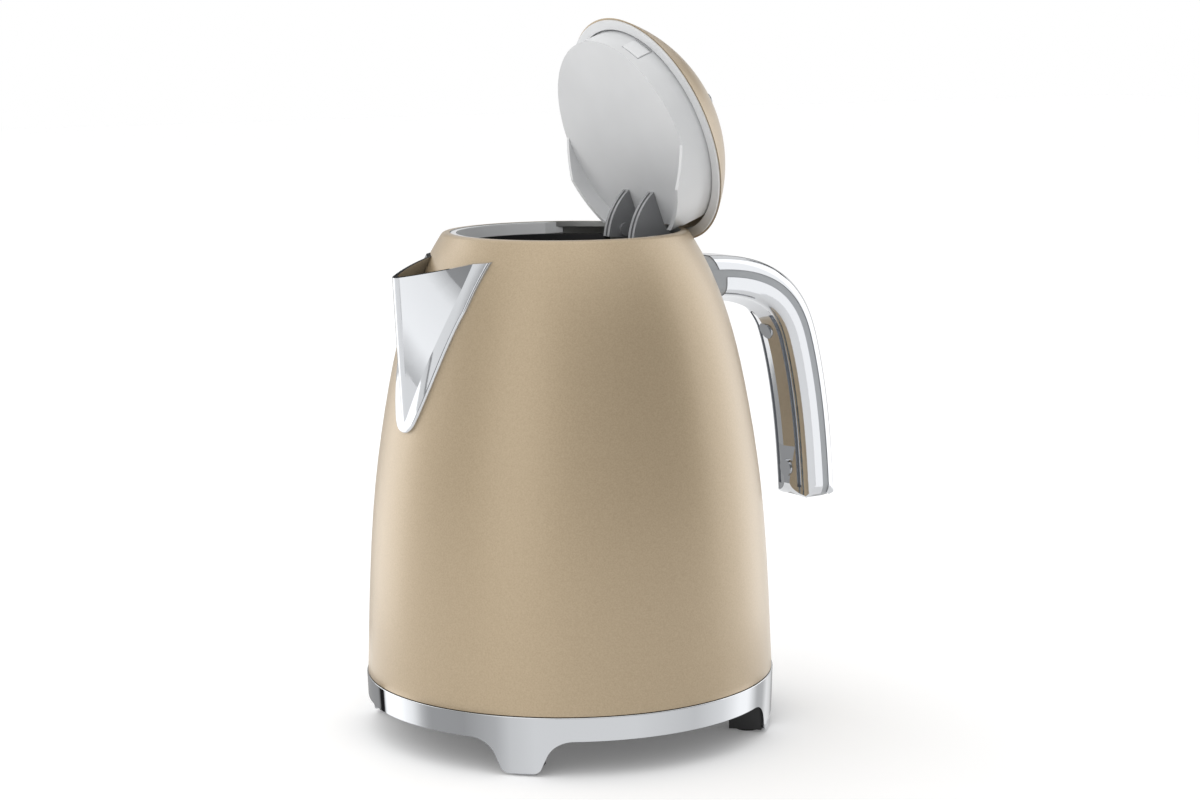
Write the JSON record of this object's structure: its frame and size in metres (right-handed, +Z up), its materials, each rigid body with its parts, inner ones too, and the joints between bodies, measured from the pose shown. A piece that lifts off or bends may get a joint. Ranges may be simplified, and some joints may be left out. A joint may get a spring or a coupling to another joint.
{
  "type": "electric kettle",
  "caption": "Domed electric kettle with a chrome beak spout, open-ended handle, hinged dome lid and a footed swivel base.",
  "frame": {"origin": "on the body's axis at table level, under the middle of the base", "axes": "+Z up along the body's axis, -X toward the spout, +X toward the handle, Y across"},
  "size_m": [0.2196, 0.172, 0.2953],
  "materials": {
    "body_paint": "matte champagne",
    "chrome": "bright chrome",
    "pale_grey": "satin",
    "liner_grey": "satin",
    "dark_grey": "satin",
    "seam_grey": "satin",
    "black_plastic": "matte",
    "rubber": "matte",
    "steel": "brushed",
    "brass": "bright",
    "clear": "clear",
    "wire": "satin"
  },
  "bodies": {
    "base": {"base_ring": "chrome", "base_tray": "black_plastic", "base_deck": "black_plastic", "foot_pads": "rubber", "base_screws": "steel", "cord_gland": "rubber", "base_wires": "wire"},
    "connector": {"base_connector": "black_plastic", "connector_contacts": "brass"},
    "filter": {"filter_frame": "liner_grey", "filter_mesh": "steel"},
    "switch": {"switch_lever": "chrome"},
    "lid": {"lid_cover": "body_paint", "lid_ring": "pale_grey", "lid_liner": "liner_grey", "lid_knob": "chrome", "knob_screw": "steel", "hinge_arm_left": "dark_grey", "hinge_arm_right": "dark_grey"},
    "left_catch": {"lid_catch_left": "pale_grey"},
    "right_catch": {"lid_catch_right": "pale_grey"},
    "kettle": {"body_shell": "body_paint", "spout": "chrome", "filter_guides": "dark_grey", "mouth_collar": "dark_grey", "hinge_pin": "steel", "lid_spring": "steel", "heating_plate": "steel", "plate_seal": "rubber", "heating_element": "steel", "control_block": "black_plastic", "connector_socket": "black_plastic", "socket_contacts": "brass", "bottom_cover": "black_plastic", "bottom_screws": "steel", "steam_tube": "steel", "level_window": "clear", "window_frame": "dark_grey", "switch_housing": "chrome", "switch_pin": "steel", "handle_outer_shell": "chrome", "handle_inner_shell": "chrome", "handle_core": "seam_grey", "handle_screws": "steel", "screw_caps": "chrome", "handle_bracket": "steel", "bracket_screws": "steel"}
  },
  "joints": [
    {"name": "base_swivel", "type": "hinge", "parent": "base", "child": "connector", "pos_m": [0, 0, 0.02], "axis": [0, 0, 1], "continuous": true},
    {"name": "lift_off", "type": "slide", "parent": "connector", "child": "kettle", "axis": [0, 0, 1], "range_m": [0, 0.06]},
    {"name": "lid_hinge", "type": "hinge", "parent": "kettle", "child": "lid", "pos_m": [0.0475, 0, 0.2007], "axis": [0, -1, 0], "range_deg": [0, 69.4], "stiffness_Nm_per_rad": 0.03, "springref_deg": -57.3, "deforming": ["lid_spring"]},
    {"name": "left_catch_press", "type": "slide", "parent": "lid", "child": "left_catch", "axis": [0.3047, 0.5, -0.8107], "range_m": [0, 0.001], "stiffness_N_per_m": 300, "springref_m": -0.0005},
    {"name": "right_catch_press", "type": "slide", "parent": "lid", "child": "right_catch", "axis": [0.3047, -0.5, -0.8107], "range_m": [0, 0.001], "stiffness_N_per_m": 300, "springref_m": -0.0005},
    {"name": "switch_tip", "type": "hinge", "parent": "kettle", "child": "switch", "pos_m": [0.078, 0, 0.0395], "axis": [0, 1, 0], "range_deg": [0, 14]},
    {"name": "filter_lift", "type": "slide", "parent": "kettle", "child": "filter", "axis": [0.2857, 0, 0.9583], "range_m": [0, 0.006]}
  ]
}
